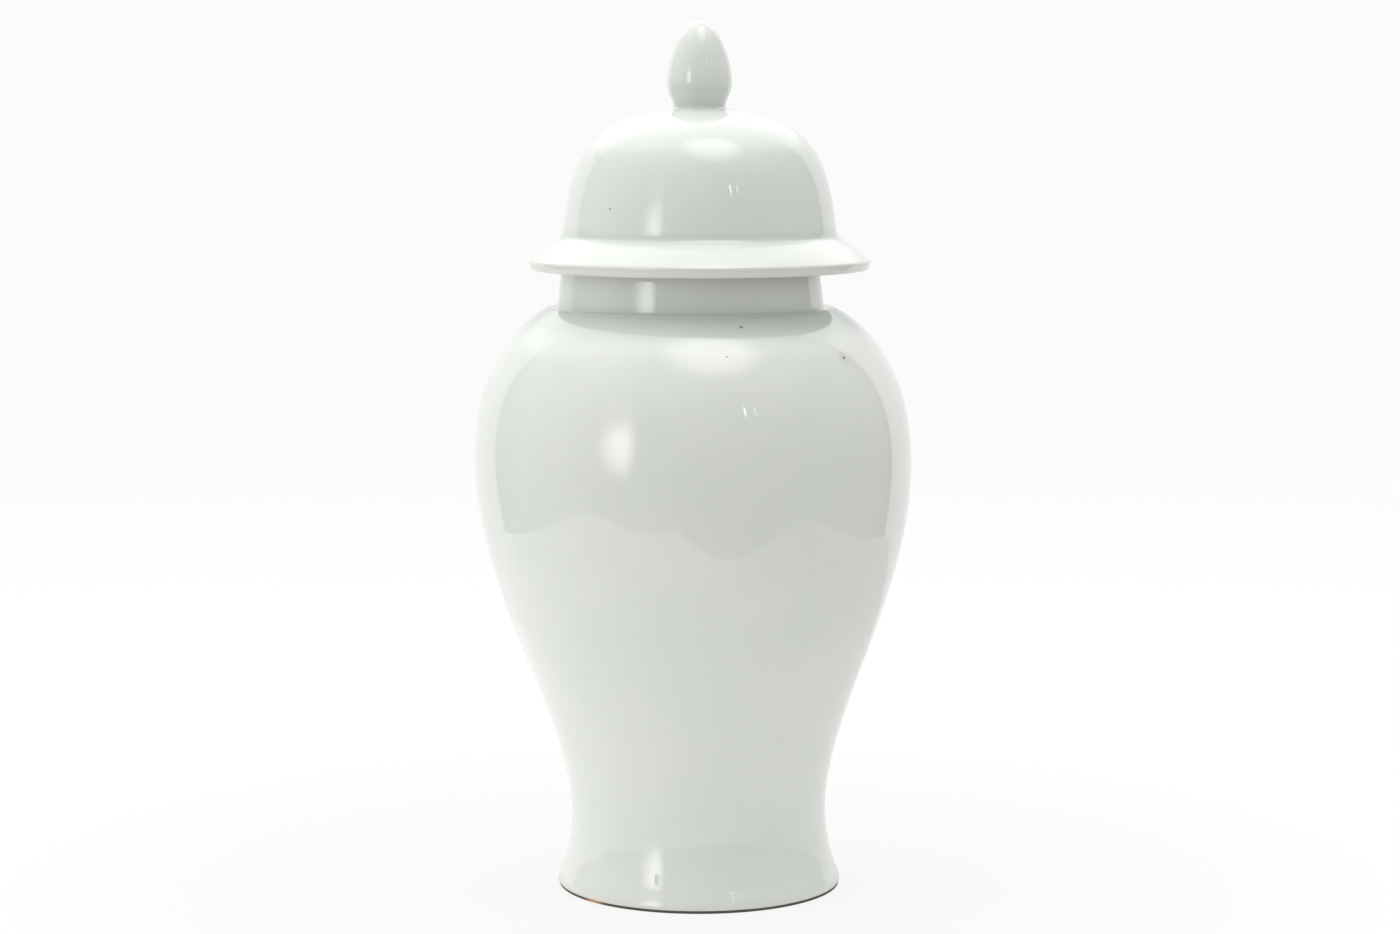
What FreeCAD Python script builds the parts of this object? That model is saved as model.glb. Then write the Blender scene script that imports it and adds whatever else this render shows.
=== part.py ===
import FreeCAD, Part
import Sketcher
import os

# White glazed temple jar with a domed lid and an onion finial, in millimetres.
# +Z is the jar's axis, and the origin is the middle of the foot ring's resting face.
# Each piece is one section of clay, drawn as half of a wall's cross-section and turned about Z.

SIZES = {
    # foot ring and the base recessed inside it
    "foot_radius": 75.0,
    "foot_band_height": 5.1,
    "foot_ring_width": 8.0,
    "foot_edge_radius": 1.2,
    "base_recess": 7.5,
    "base_recess_taper": 2.5,
    "base_thickness": 9.0,
    # lower body, from the waist above the foot up to the belly
    "waist_radius": 68.1,
    "waist_height": 39.2,
    "belly_radius": 115.4,
    "belly_rise": 188.1,
    "foot_pull_in_share": 0.52,
    "foot_rise_share": 0.12,
    "waist_under_share": 0.287,
    "waist_over_share": 0.287,
    "belly_under_share": 0.377,
    # walls, and the ridge of clay squeezed inwards where the two halves are luted
    "jar_wall": 6.0,
    "waist_wall": 7.5,
    "seam_ridge": 1.4,
    "seam_ridge_height": 6.0,
    "seam_ridge_bend_share": 0.5,
    "floor_flat_share": 0.45,
    "floor_curve_share": 0.8,
    # shoulder
    "shoulder_rise": 83.2,
    "shoulder_lip": 3.5,
    "shoulder_out_share": 0.341,
    "shoulder_drop_share": 0.086,
    # neck, a low cone with a slight flare where it stands on the shoulder
    "rim_radius": 68.0,
    "rim_edge_radius": 1.2,
    "neck_wall": 6.0,
    "neck_height": 17.2,
    "neck_taper": 2.0,
    "neck_flare": 0.5,
    "neck_flare_height": 1.5,
    "neck_flare_bend_share": 0.5,
    # lid, whose heights are measured up from the face that rests on the rim
    "lid_offset": 2.4,
    "flange_reach": 17.9,
    "flange_tip_height": 3.8,
    "flange_undercut": 5.7,
    "flange_under_curve_share": 0.5,
    "flange_top_steep_share": 0.53,
    "flange_top_lean_share": 0.06,
    "flange_top_rise_share": 0.31,
    "flange_top_run_share": 0.32,
    "dome_overhang": 4.4,
    "dome_root_height": 17.3,
    "dome_root_fillet": 2.2,
    "dome_height": 83.8,
    "dome_lean_share": 0.078,
    "dome_rise_share": 0.567,
    "dome_top_run_share": 0.828,
    "dome_top_drop_share": 0.065,
    "lid_wall": 5.5,
    "lid_web": 7.0,
    "lid_web_curve_share": 0.6,
    # locating ring, which drops loosely into the neck
    "ring_play": 5.5,
    "ring_wall": 5.0,
    "ring_depth": 17.0,
    "ring_taper": 1.0,
    "ring_edge_radius": 1.5,
    # finial
    "finial_base_radius": 13.8,
    "finial_radius": 17.0,
    "finial_widest_height": 13.5,
    "finial_height": 45.5,
    "finial_nip": 1.0,
    "finial_nip_share": 0.3,
    "finial_under_share": 0.5,
    "finial_over_share": 0.404,
    "finial_tip_share": 0.52,
}

FULL_TURN_DEGREES = 360.0
SAME_PLACE_SHARE = 0.001

# Numbers that a sketch gives to the places on a line or curve, to its origin and to its two axes.
START_INDEX, END_INDEX, CENTRE_INDEX = 1, 2, 3
ORIGIN_INDEX, UPRIGHT_INDEX, LEVEL_INDEX = -1, -2, -1

doc = FreeCAD.newDocument("TempleJar")
sheet = doc.addObject("Spreadsheet::Sheet", "Size")
for row, (alias, value) in enumerate(SIZES.items(), start=1):
    sheet.set(f"A{row}", alias)
    sheet.set(f"B{row}", str(value))
    sheet.setAlias(f"B{row}", alias)
doc.recompute()

# Heights and radii that several pieces share, as expressions on the sheet.
BELLY = "Size.waist_height + Size.belly_rise"
SHOULDER = f"{BELLY} + Size.shoulder_rise"
SEAT = f"{SHOULDER} + Size.neck_height"
CROWN = f"{SEAT} + Size.dome_height"
INNER_BELLY = "Size.belly_radius - Size.jar_wall"
SEAM_INSIDE = f"{INNER_BELLY} - Size.seam_ridge"
BORE = "Size.rim_radius - Size.neck_wall"
NECK_ROOT = "Size.rim_radius + Size.neck_taper"
NECK_FOOT = f"{NECK_ROOT} + Size.neck_flare"
RING_OUTSIDE = f"{BORE} - Size.ring_play"
RING_INSIDE = f"{RING_OUTSIDE} - Size.ring_wall"
DOME_ROOT = "Size.rim_radius + Size.dome_overhang"
FLANGE = f"{DOME_ROOT} + Size.flange_reach"


def number(text):
    """Value that an expression on the sheet has now."""
    return float(sheet.evalExpression(text))


def between(start, end, share):
    """Expression for the place a share of the way from one expression to another."""
    return f"({start}) + {share} * (({end}) - ({start}))"


def pin(sketch, geometry, place, point):
    """Hold one place of a sketch element at a radius and a height given as expressions."""
    radius, height = point
    for kind, axis, text in (("DistanceX", UPRIGHT_INDEX, radius), ("DistanceY", LEVEL_INDEX, height)):
        if text == "0":
            sketch.addConstraint(Sketcher.Constraint("PointOnObject", geometry, place, axis))
            continue
        held = Sketcher.Constraint(kind, ORIGIN_INDEX, START_INDEX, geometry, place, number(text))
        index = sketch.addConstraint(held)
        sketch.setExpression(f"Constraints[{index}]", text)


def section(body, name, steps):
    """Closed half section on the body's own XZ plane, which starts where its last step ends.

    Each step is a point for a straight line, or two handles and a point for a cubic curve.
    """
    sketch = body.newObject("Sketcher::SketchObject", name)
    plane = [feature for feature in body.Origin.OriginFeatures if feature.Role == "XZ_Plane"][0]
    sketch.AttachmentSupport = [(plane, "")]
    sketch.MapMode = "FlatFace"
    here = steps[-1][-1]
    drawn = []
    for step in steps:
        corners = [FreeCAD.Vector(number(radius), number(height), 0) for radius, height in (here,) + step]
        if len(step) == 1:
            index = sketch.addGeometry(Part.LineSegment(*corners), False)
        else:
            curve = Part.BSplineCurve()
            curve.buildFromPoles(corners, False, len(step))
            index = sketch.addGeometry(curve, False)
            start_pole = sketch.GeometryCount
            sketch.exposeInternalGeometry(index)
            for pole, handle in enumerate(step[:-1], start=start_pole + 1):
                pin(sketch, pole, CENTRE_INDEX, handle)
        if drawn:
            sketch.addConstraint(Sketcher.Constraint("Coincident", drawn[-1], END_INDEX, index, START_INDEX))
        pin(sketch, index, END_INDEX, step[-1])
        drawn.append(index)
        here = step[-1]
    sketch.addConstraint(Sketcher.Constraint("Coincident", drawn[-1], END_INDEX, drawn[0], START_INDEX))
    return sketch


def turned_piece(label, steps):
    """Body made by turning a half section about Z."""
    body = doc.addObject("PartDesign::Body", "".join(word.title() for word in label.split("_")))
    body.Label = label
    sketch = section(body, f"{label}_section", steps)
    turned = body.newObject("PartDesign::Revolution", f"{label}_turned")
    turned.Profile = sketch
    turned.ReferenceAxis = (sketch, ["V_Axis"])
    turned.Angle = FULL_TURN_DEGREES
    doc.recompute()
    return body


def round_edges(body, name, radius, rings):
    """Fillet the circular edges that lie at the given radii and heights."""
    base = body.Tip
    wanted = [(number(r), number(z)) for r, z in rings]
    near = SAME_PLACE_SHARE * number("Size.jar_wall")
    edges = []
    for index, edge in enumerate(base.Shape.Edges, start=1):
        if not isinstance(edge.Curve, Part.Circle):
            continue
        here = (edge.Curve.Radius, edge.Curve.Center.z)
        if any(abs(here[0] - r) < near and abs(here[1] - z) < near for r, z in wanted):
            edges.append(f"Edge{index}")
    if len(edges) != len(rings):
        raise RuntimeError(f"{body.Label}: {len(edges)} of {len(rings)} edges found for {name}")
    fillet = body.newObject("PartDesign::Fillet", name)
    fillet.Base = (base, edges)
    fillet.setExpression("Radius", radius)
    doc.recompute()


def seat_on_neck(body):
    """Set a piece of the lid to one side within the ring's play, as the lid lies in use."""
    body.setExpression(".Placement.Base.x", "Size.lid_offset")


def make_lower_section():
    """Foot ring, recessed base and lower body, up to the seam at the belly."""
    band = ("Size.foot_radius", "Size.foot_band_height")
    waist = ("Size.waist_radius", "Size.waist_height")
    belly = ("Size.belly_radius", BELLY)
    inner_waist = ("Size.waist_radius - Size.waist_wall", "Size.waist_height")
    ridge_foot = (INNER_BELLY, f"{BELLY} - Size.seam_ridge_height")
    ridge = (SEAM_INSIDE, BELLY)
    floor = "Size.base_recess + Size.base_thickness"
    ring_inside = "Size.foot_radius - Size.foot_ring_width"
    body = turned_piece("jar_lower_section", [
        ((f"{ring_inside} - Size.base_recess_taper", "Size.base_recess"),),
        ((ring_inside, "0"),),
        (("Size.foot_radius", "0"),),
        (band,),
        (
            (between(band[0], waist[0], "Size.foot_pull_in_share"),
             between(band[1], waist[1], "Size.foot_rise_share")),
            (waist[0], between(waist[1], band[1], "Size.waist_under_share")),
            waist,
        ),
        (
            (waist[0], between(waist[1], belly[1], "Size.waist_over_share")),
            (belly[0], between(belly[1], waist[1], "Size.belly_under_share")),
            belly,
        ),
        (ridge,),
        (
            (ridge[0], between(ridge[1], ridge_foot[1], "Size.seam_ridge_bend_share")),
            (ridge_foot[0], between(ridge_foot[1], ridge[1], "Size.seam_ridge_bend_share")),
            ridge_foot,
        ),
        (
            (ridge_foot[0], between(ridge_foot[1], waist[1], "Size.belly_under_share")),
            (inner_waist[0], between(waist[1], ridge_foot[1], "Size.waist_over_share")),
            inner_waist,
        ),
        (
            (inner_waist[0], between(waist[1], floor, "Size.floor_curve_share")),
            (f"Size.floor_curve_share * ({inner_waist[0]})", floor),
            (f"Size.floor_flat_share * ({inner_waist[0]})", floor),
        ),
        (("0", floor),),
        (("0", "Size.base_recess"),),
    ])
    round_edges(body, "foot_edges", "Size.foot_edge_radius", [("Size.foot_radius", "0"), (ring_inside, "0")])


def make_upper_section():
    """Shoulder, from the seam at the belly up to the opening that the neck stands on."""
    belly = ("Size.belly_radius", BELLY)
    top = (NECK_FOOT, SHOULDER)
    opening = (BORE, f"{SHOULDER} - Size.shoulder_lip")
    ridge = (SEAM_INSIDE, BELLY)
    ridge_foot = (INNER_BELLY, f"{BELLY} + Size.seam_ridge_height")
    # The handle above the seam is as long as equal curvature with the lower body asks for.
    lower_handle = "Size.belly_under_share * Size.belly_rise"
    shoulder_out = f"Size.shoulder_out_share * (Size.belly_radius - ({NECK_FOOT}))"
    bend = f"(Size.belly_radius - ({NECK_FOOT}) - {shoulder_out}) / (Size.belly_radius - Size.waist_radius)"
    upper_handle = f"{lower_handle} * sqrt({bend})"
    turned_piece("jar_upper_section", [
        (belly,),
        (
            (belly[0], f"{BELLY} + {upper_handle}"),
            (f"{NECK_FOOT} + {shoulder_out}", between(top[1], belly[1], "Size.shoulder_drop_share")),
            top,
        ),
        ((BORE, SHOULDER),),
        (opening,),
        (
            (f"{BORE} + {shoulder_out}", between(opening[1], belly[1], "Size.shoulder_drop_share")),
            (ridge_foot[0], f"{BELLY} + {upper_handle}"),
            ridge_foot,
        ),
        (
            (ridge_foot[0], between(ridge_foot[1], ridge[1], "Size.seam_ridge_bend_share")),
            (ridge[0], between(ridge[1], ridge_foot[1], "Size.seam_ridge_bend_share")),
            ridge,
        ),
    ])


def make_neck():
    """Neck ring with a flat rim for the lid."""
    root = (NECK_ROOT, f"{SHOULDER} + Size.neck_flare_height")
    body = turned_piece("jar_neck", [
        ((NECK_FOOT, SHOULDER),),
        (
            (NECK_ROOT, SHOULDER),
            (NECK_ROOT, between(root[1], SHOULDER, "Size.neck_flare_bend_share")),
            root,
        ),
        (("Size.rim_radius", SEAT),),
        ((BORE, SEAT),),
        ((BORE, SHOULDER),),
    ])
    round_edges(body, "rim_edges", "Size.rim_edge_radius", [("Size.rim_radius", SEAT), (BORE, SEAT)])


def make_lid_dome():
    """Domed cover and its overhanging flange, thrown in one, open underneath."""
    tip = (FLANGE, f"{SEAT} + Size.flange_tip_height")
    root = (DOME_ROOT, f"{SEAT} + Size.dome_root_height")
    crown = ("Size.finial_base_radius", CROWN)
    inner_root = (f"{DOME_ROOT} - Size.lid_wall", root[1])
    inner_crown = ("Size.finial_base_radius", f"{CROWN} - Size.lid_wall")
    web = (RING_INSIDE, f"{SEAT} + Size.lid_web")
    under = f"{FLANGE} - Size.flange_undercut"
    body = turned_piece("lid_dome", [
        ((under, SEAT),),
        (
            (between(under, tip[0], "Size.flange_under_curve_share"), SEAT),
            (tip[0], between(tip[1], SEAT, "Size.flange_under_curve_share")),
            tip,
        ),
        (
            (between(tip[0], root[0], "Size.flange_top_lean_share"),
             between(tip[1], root[1], "Size.flange_top_steep_share")),
            (between(root[0], tip[0], "Size.flange_top_run_share"),
             between(root[1], tip[1], "Size.flange_top_rise_share")),
            root,
        ),
        (
            (between(root[0], crown[0], "Size.dome_lean_share"),
             between(root[1], crown[1], "Size.dome_rise_share")),
            (between(crown[0], root[0], "Size.dome_top_run_share"),
             between(crown[1], root[1], "Size.dome_top_drop_share")),
            crown,
        ),
        (("0", CROWN),),
        (("0", inner_crown[1]),),
        (inner_crown,),
        (
            (between(inner_crown[0], inner_root[0], "Size.dome_top_run_share"),
             between(inner_crown[1], inner_root[1], "Size.dome_top_drop_share")),
            (between(inner_root[0], inner_crown[0], "Size.dome_lean_share"),
             between(inner_root[1], inner_crown[1], "Size.dome_rise_share")),
            inner_root,
        ),
        (
            (inner_root[0], between(inner_root[1], web[1], "Size.lid_web_curve_share")),
            (between(web[0], inner_root[0], "Size.lid_web_curve_share"), web[1]),
            web,
        ),
        ((RING_INSIDE, SEAT),),
    ])
    round_edges(body, "dome_root", "Size.dome_root_fillet", [root])
    seat_on_neck(body)


def make_locating_ring():
    """Ring luted under the lid, which keeps it from sliding off the neck."""
    foot = f"{SEAT} - Size.ring_depth"
    outside = f"{RING_OUTSIDE} - Size.ring_taper"
    body = turned_piece("lid_locating_ring", [
        ((outside, foot),),
        ((RING_OUTSIDE, SEAT),),
        ((RING_INSIDE, SEAT),),
        ((RING_INSIDE, foot),),
    ])
    round_edges(body, "ring_edges", "Size.ring_edge_radius", [(outside, foot), (RING_INSIDE, foot)])
    seat_on_neck(body)


def make_finial():
    """Solid onion-shaped knob luted on the crown of the dome."""
    base = ("Size.finial_base_radius", CROWN)
    widest = ("Size.finial_radius", f"{CROWN} + Size.finial_widest_height")
    tip = ("0", f"{CROWN} + Size.finial_height")
    body = turned_piece("lid_finial", [
        (base,),
        (
            ("Size.finial_base_radius - Size.finial_nip",
             between(base[1], widest[1], "Size.finial_nip_share")),
            (widest[0], between(widest[1], base[1], "Size.finial_under_share")),
            widest,
        ),
        (
            (widest[0], between(widest[1], tip[1], "Size.finial_over_share")),
            ("Size.finial_tip_share * Size.finial_radius", tip[1]),
            tip,
        ),
        (("0", CROWN),),
    ])
    seat_on_neck(body)


make_lower_section()
make_upper_section()
make_neck()
make_lid_dome()
make_locating_ring()
make_finial()
doc.recompute()

for item in doc.Objects:
    if "Invalid" in item.State or "Error" in item.State:
        raise RuntimeError(f"{item.Label} did not compute: {item.State}")
    if item.isDerivedFrom("Sketcher::SketchObject") and item.solve() != 0:
        raise RuntimeError(f"{item.Label} has no solution")

os.makedirs("parts", exist_ok=True)
for body in doc.Objects:
    if not body.isDerivedFrom("PartDesign::Body"):
        continue
    if body.Shape.isNull() or not body.Shape.isValid() or len(body.Shape.Solids) != 1:
        raise RuntimeError(f"{body.Label} is not one sound solid")
    body.Shape.exportStep(f"parts/{body.Label}.step")
    print(f"{body.Label}: {body.Shape.Volume:.0f} mm3")
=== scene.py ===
import math

import bmesh
import bpy
from bpy.props import FloatProperty, FloatVectorProperty, PointerProperty
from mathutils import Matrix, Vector, noise
from mathutils.geometry import interpolate_bezier


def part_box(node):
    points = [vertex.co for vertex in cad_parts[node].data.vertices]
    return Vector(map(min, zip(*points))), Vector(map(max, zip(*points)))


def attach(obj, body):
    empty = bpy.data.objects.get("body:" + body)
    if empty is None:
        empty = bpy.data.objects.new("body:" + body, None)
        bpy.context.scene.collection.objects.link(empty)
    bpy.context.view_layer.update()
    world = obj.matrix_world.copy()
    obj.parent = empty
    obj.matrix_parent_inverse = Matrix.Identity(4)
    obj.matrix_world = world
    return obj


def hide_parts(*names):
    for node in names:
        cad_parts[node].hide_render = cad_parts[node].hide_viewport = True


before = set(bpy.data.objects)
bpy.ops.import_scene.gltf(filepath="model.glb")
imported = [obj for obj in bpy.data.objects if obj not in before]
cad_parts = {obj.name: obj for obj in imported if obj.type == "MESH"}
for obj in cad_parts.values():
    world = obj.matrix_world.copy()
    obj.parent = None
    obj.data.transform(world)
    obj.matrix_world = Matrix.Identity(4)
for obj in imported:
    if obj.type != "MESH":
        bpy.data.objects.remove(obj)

bl_info = {
    "name": "Temple jar",
    "version": (1, 0, 0),
    "blender": (4, 5, 0),
    "location": "3D View > Sidebar > Temple jar",
    "description": "White glazed temple jar with a domed lid, built over its packed frame",
    "category": "Object",
}

# Sizes are in metres. Z is the jar's axis, and the middle of the foot's resting face is the origin.
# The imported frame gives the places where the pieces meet, so that the glazed pieces sit on them.
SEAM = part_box("jar_lower_section")[1]
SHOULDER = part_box("jar_upper_section")[1]
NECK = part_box("jar_neck")[1]
RING_LOW, RING_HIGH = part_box("lid_locating_ring")
FLANGE_LOW, FLANGE_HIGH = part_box("lid_dome")
FINIAL_LOW, FINIAL_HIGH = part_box("lid_finial")

# A full turn is spun in equal sectors, and what meets is welded.
TURN_STEPS, SECTORS = 256, 16
WELD_DISTANCE = 1e-6

# How far a quarter round's handles reach to its corner.
ROUND_SHARE = 0.5523

# Shares of each curve's run and rise at which its handles lie.
FOOT_PULL_IN, FOOT_RISE = 0.52, 0.12
WAIST_UNDER, WAIST_OVER, BELLY_UNDER = 0.287, 0.287, 0.377
SHOULDER_OUT, SHOULDER_DROP = 0.341, 0.086
FLOOR_FLAT, FLOOR_CURVE = 0.45, 0.8
FLANGE_TOP_RISE, FLANGE_TOP_RUN = 0.24, 0.37
FLANGE_TOP_STEEP, FLANGE_TOP_LEAN = 0.36, 0.27
DOME_LEAN, DOME_RISE, DOME_TOP_RUN, DOME_TOP_DROP = 0.078, 0.567, 0.828, 0.065
FILLET_PULL, HOLLOW_PULL = 0.6, 0.35
WEB_CURVE = 0.6
FINIAL_NIP, FINIAL_UNDER, FINIAL_OVER, FINIAL_TIP = 0.3, 0.5, 0.404, 0.52

# How far the foot's roll reaches below and above the band's corner, as shares of its size.
FOOT_ROLL_BELOW, FOOT_ROLL_ABOVE = 0.9, 1.8

# Rounding of the corner between the base's underside and the foot ring.
RECESS_CORNER = 0.002

# Small marks in the glaze and the clay, each with its middle and its reach.
SPECKS = [
    ((0.0232, -0.0800, 0.3025), 0.0010), ((0.0757, -0.0628, 0.2858), 0.0011),
    ((0.0159, -0.0959, 0.2889), 0.0007), ((-0.0432, -0.0534, 0.3608), 0.0007),
]
STAINS = [
    ((0.0757, -0.0628, 0.2858), 0.0050), ((-0.0504, -0.0317, 0.3877), 0.0048),
    ((0.0232, -0.0800, 0.3025), 0.0030),
]
DENTS = [
    ((-0.0194, -0.0674, 0.0177), 0.0015), ((-0.0195, -0.0677, 0.0163), 0.0015),
    ((-0.0196, -0.0680, 0.0149), 0.0015),
]
FLASHES = [((-0.0540, -0.0520, 0.0010), 0.0090)]

# Scales of the patterns in the glaze and the clay, and heights of their unevenness.
CLOUD_SCALE, SPECK_SCALE, SMEAR_SCALE, WAVE_SCALE, PORE_SCALE = 14.0, 55.0, 38.0, 32.0, 650.0
GRAIN_SCALE, PATCH_SCALE = 900.0, 30.0
WAVE_HEIGHT, PORE_HEIGHT, DENT_HEIGHT, GRAIN_HEIGHT = 0.00012, 0.000004, 0.00040, 0.00015
GLAZE_IOR, CLAY_IOR = 1.5, 1.45

# Distances inside the foot ring's outside at which the painted shadow, standing for the contact shadow
# at the table, starts and is full.
FOOT_SHADOW_STARTS, FOOT_SHADOW_FULL = 0.0020, 0.0008

# Camera of the photograph: its lens and sensor in millimetres, its place and its tilt in degrees.
LENS, SENSOR_WIDTH = 85.0, 36.0
CAMERA_PLACE, CAMERA_TILT = (0.0026, -1.737, 0.418), 83.59

# Lights round the jar, in degrees: bearings from the camera's side, positive to the right, and
# heights above the level. A boxed light has a pair over which it grows and one over which it goes.
# An egg has a bearing and a height, each with two reaches, and a round one a bearing, a height and
# two reaches. The dim room darkens to the right. A gap is the dark beside the backdrop, and it
# closes upwards.
SIDE_GLOW = ((25.0, 60.0), (130.0, 95.0)), ((-12.0, -2.0), (40.0, 25.0))
FRONT_SHADE, FRONT_SHADE_HEIGHTS = (60.0, 25.0), ((14.0, 34.0), (70.0, 50.0))
DIM_ROOM, ROOM_POST = (-97.403, 34.377), ((30.5, 32.0), (35.5, 34.0))
GAP_LEFT, GAP_RIGHT, GAP_CLOSES = (-123.0, -121.5), (121.0, 123.5), (15.0, 50.0)
BACKDROP_LEFT, BACKDROP_RIGHT = (-123.5, -127.0), (126.5, 128.5)
FAR_LAMP = ((28.8, 29.4), (30.3, 29.7)), ((23.0, 26.5), (31.0, 28.0))
FARTHER_LAMP = ((35.0, 35.9), (36.9, 36.1)), ((23.0, 26.0), (30.0, 27.5))
WINDOW, WINDOW_PLUME = (-36.3, 16.5, 8.5, 6.5, 16.0, 17.0), (-36.3, 16.5, 8.5, 15.0, 10.0, 24.0)
SOFTBOX, SKYLIGHT = (27.0, 72.0, 5.0, 24.0), (-176.0, 64.0, 37.0, 52.0)
SIDE_GLOW_SHARE, FRONT_SHADE_SHARE, POST_SHARE = 0.40, 0.52, 0.45
PLUME_SHARE, FARTHER_LAMP_SHARE = 0.12, 0.3

# Colour of the table's light on the jar, from its middle to its right.
TABLE_MIDDLE, TABLE_RIGHT = (0.82, 0.82, 0.81), (0.52, 0.52, 0.51)

# How far the table's front edge reaches, from left to right, as shares of the table's depth.
TABLE_EDGE = (0.99, 1.06, 1.09, 1.08, 1.06, 1.13, 1.20, 1.23, 1.06,
              0.91, 0.87, 0.89, 0.91, 0.93, 0.96, 0.99, 1.00)


class JarSizes(bpy.types.PropertyGroup):
    foot_radius: FloatProperty(
        name="Foot radius", description="Outside of the foot ring", default=0.075, unit="LENGTH")
    foot_band_height: FloatProperty(
        name="Foot band", description="Height of the upright band above the floor",
        default=0.0051, unit="LENGTH")
    foot_ring_width: FloatProperty(
        name="Foot ring width", description="Width of the ring that the jar stands on",
        default=0.008, unit="LENGTH")
    foot_edge_radius: FloatProperty(
        name="Foot edge", description="Rounding of the foot ring's edges", default=0.0006, unit="LENGTH")
    foot_roll: FloatProperty(
        name="Foot roll", description="Reach of the rounding above the upright band",
        default=0.0030, unit="LENGTH")
    glaze_line: FloatProperty(
        name="Glaze line", description="Height at which the glaze stops above the floor",
        default=0.0015, unit="LENGTH")
    glaze_thickness: FloatProperty(
        name="Glaze thickness", description="Step between the glaze and the bare clay",
        default=0.0003, unit="LENGTH")
    base_recess: FloatProperty(
        name="Base recess", description="Height of the base's underside", default=0.0075, unit="LENGTH")
    base_recess_taper: FloatProperty(
        name="Recess taper", description="How far the recess narrows upwards",
        default=0.0025, unit="LENGTH")
    base_thickness: FloatProperty(
        name="Base thickness", description="Thickness of the base", default=0.009, unit="LENGTH")
    waist_radius: FloatProperty(
        name="Waist radius", description="Narrowest radius above the foot",
        default=0.0681, unit="LENGTH")
    waist_height: FloatProperty(
        name="Waist height", description="Height of the narrowest place", default=0.0392, unit="LENGTH")
    jar_wall: FloatProperty(
        name="Wall", description="Thickness of the jar's wall", default=0.006, unit="LENGTH")
    waist_wall: FloatProperty(
        name="Waist wall", description="Thickness of the wall at the waist",
        default=0.0075, unit="LENGTH")
    seam_ridge: FloatProperty(
        name="Seam ridge", description="Ridge inside, where the two halves are joined",
        default=0.0014, unit="LENGTH")
    seam_ridge_height: FloatProperty(
        name="Seam ridge height", description="Half of the ridge's height",
        default=0.006, unit="LENGTH")
    shoulder_lip: FloatProperty(
        name="Shoulder lip", description="Thickness of the shoulder at the neck's opening",
        default=0.0035, unit="LENGTH")
    rim_radius: FloatProperty(
        name="Rim radius", description="Outside of the neck at its rim", default=0.068, unit="LENGTH")
    rim_edge_radius: FloatProperty(
        name="Rim edge", description="Rounding of the rim's edges", default=0.0012, unit="LENGTH")
    neck_wall: FloatProperty(
        name="Neck wall", description="Thickness of the neck", default=0.006, unit="LENGTH")
    neck_taper: FloatProperty(
        name="Neck taper", description="How much wider the neck is at its root",
        default=0.002, unit="LENGTH")
    neck_fillet: FloatProperty(
        name="Neck fillet", description="Rounding in the corner at the neck's foot",
        default=0.0008, unit="LENGTH")
    neck_hollow_width: FloatProperty(
        name="Neck hollow width", description="Width of the shallow hollow round the neck's foot",
        default=0.0062, unit="LENGTH")
    neck_hollow_depth: FloatProperty(
        name="Neck hollow depth", description="How far the hollow lies below the shoulder's line",
        default=0.0025, unit="LENGTH")
    lean_at_foot: FloatProperty(
        name="Lean at foot", description="How far the firing pushed the foot off the axis",
        default=0.0021, unit="LENGTH")
    lean_at_rim: FloatProperty(
        name="Lean at rim", description="How far the firing pushed the rim off the axis",
        default=-0.0024, unit="LENGTH")
    unevenness: FloatProperty(
        name="Unevenness", description="How far the hand-thrown surface wanders from a true round",
        default=0.00022, unit="LENGTH")
    unevenness_length: FloatProperty(
        name="Unevenness length", description="Distance over which the surface wanders",
        default=0.055, unit="LENGTH")


class LidSizes(bpy.types.PropertyGroup):
    flange_tip_height: FloatProperty(
        name="Flange tip height", description="Height of the flange's widest place above the seat",
        default=0.0038, unit="LENGTH")
    flange_undercut: FloatProperty(
        name="Flange undercut", description="How far the flange's lower corner stays inside its tip",
        default=0.0019, unit="LENGTH")
    flange_edge: FloatProperty(
        name="Flange edge", description="Reach of the rounding on the flange's two corners",
        default=0.0011, unit="LENGTH")
    flange_droop: FloatProperty(
        name="Flange droop", description="How far the firing let the flange's rim sink",
        default=0.0004, unit="LENGTH")
    dome_root_radius: FloatProperty(
        name="Dome root radius", description="Radius at which the dome rises from the flange",
        default=0.0724, unit="LENGTH")
    dome_root_height: FloatProperty(
        name="Dome root height", description="Height of that place above the seat",
        default=0.0173, unit="LENGTH")
    dome_root_fillet: FloatProperty(
        name="Dome root fillet", description="Size of the hollow between dome and flange",
        default=0.0022, unit="LENGTH")
    lid_wall: FloatProperty(
        name="Lid wall", description="Thickness of the dome", default=0.0055, unit="LENGTH")
    lid_web: FloatProperty(
        name="Lid web", description="Thickness of the flange at the locating ring",
        default=0.007, unit="LENGTH")
    ring_wall: FloatProperty(
        name="Ring wall", description="Thickness of the locating ring", default=0.005, unit="LENGTH")
    ring_taper: FloatProperty(
        name="Ring taper", description="How much narrower the ring is at its foot",
        default=0.001, unit="LENGTH")
    ring_edge_radius: FloatProperty(
        name="Ring edge", description="Rounding of the ring's lower edges",
        default=0.0015, unit="LENGTH")
    seat_radius: FloatProperty(
        name="Seat radius", description="Outside of the bare band that rests on the rim",
        default=0.0712, unit="LENGTH")
    finial_base_radius: FloatProperty(
        name="Finial base", description="Radius of the finial's foot", default=0.0138, unit="LENGTH")
    finial_widest_height: FloatProperty(
        name="Finial widest height", description="Height of its widest place above the crown",
        default=0.0135, unit="LENGTH")
    finial_nip: FloatProperty(
        name="Finial nip", description="How far the finial draws in above its foot",
        default=0.001, unit="LENGTH")
    finial_fillet: FloatProperty(
        name="Finial fillet", description="Glaze gathered round the finial's foot",
        default=0.0012, unit="LENGTH")


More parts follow.
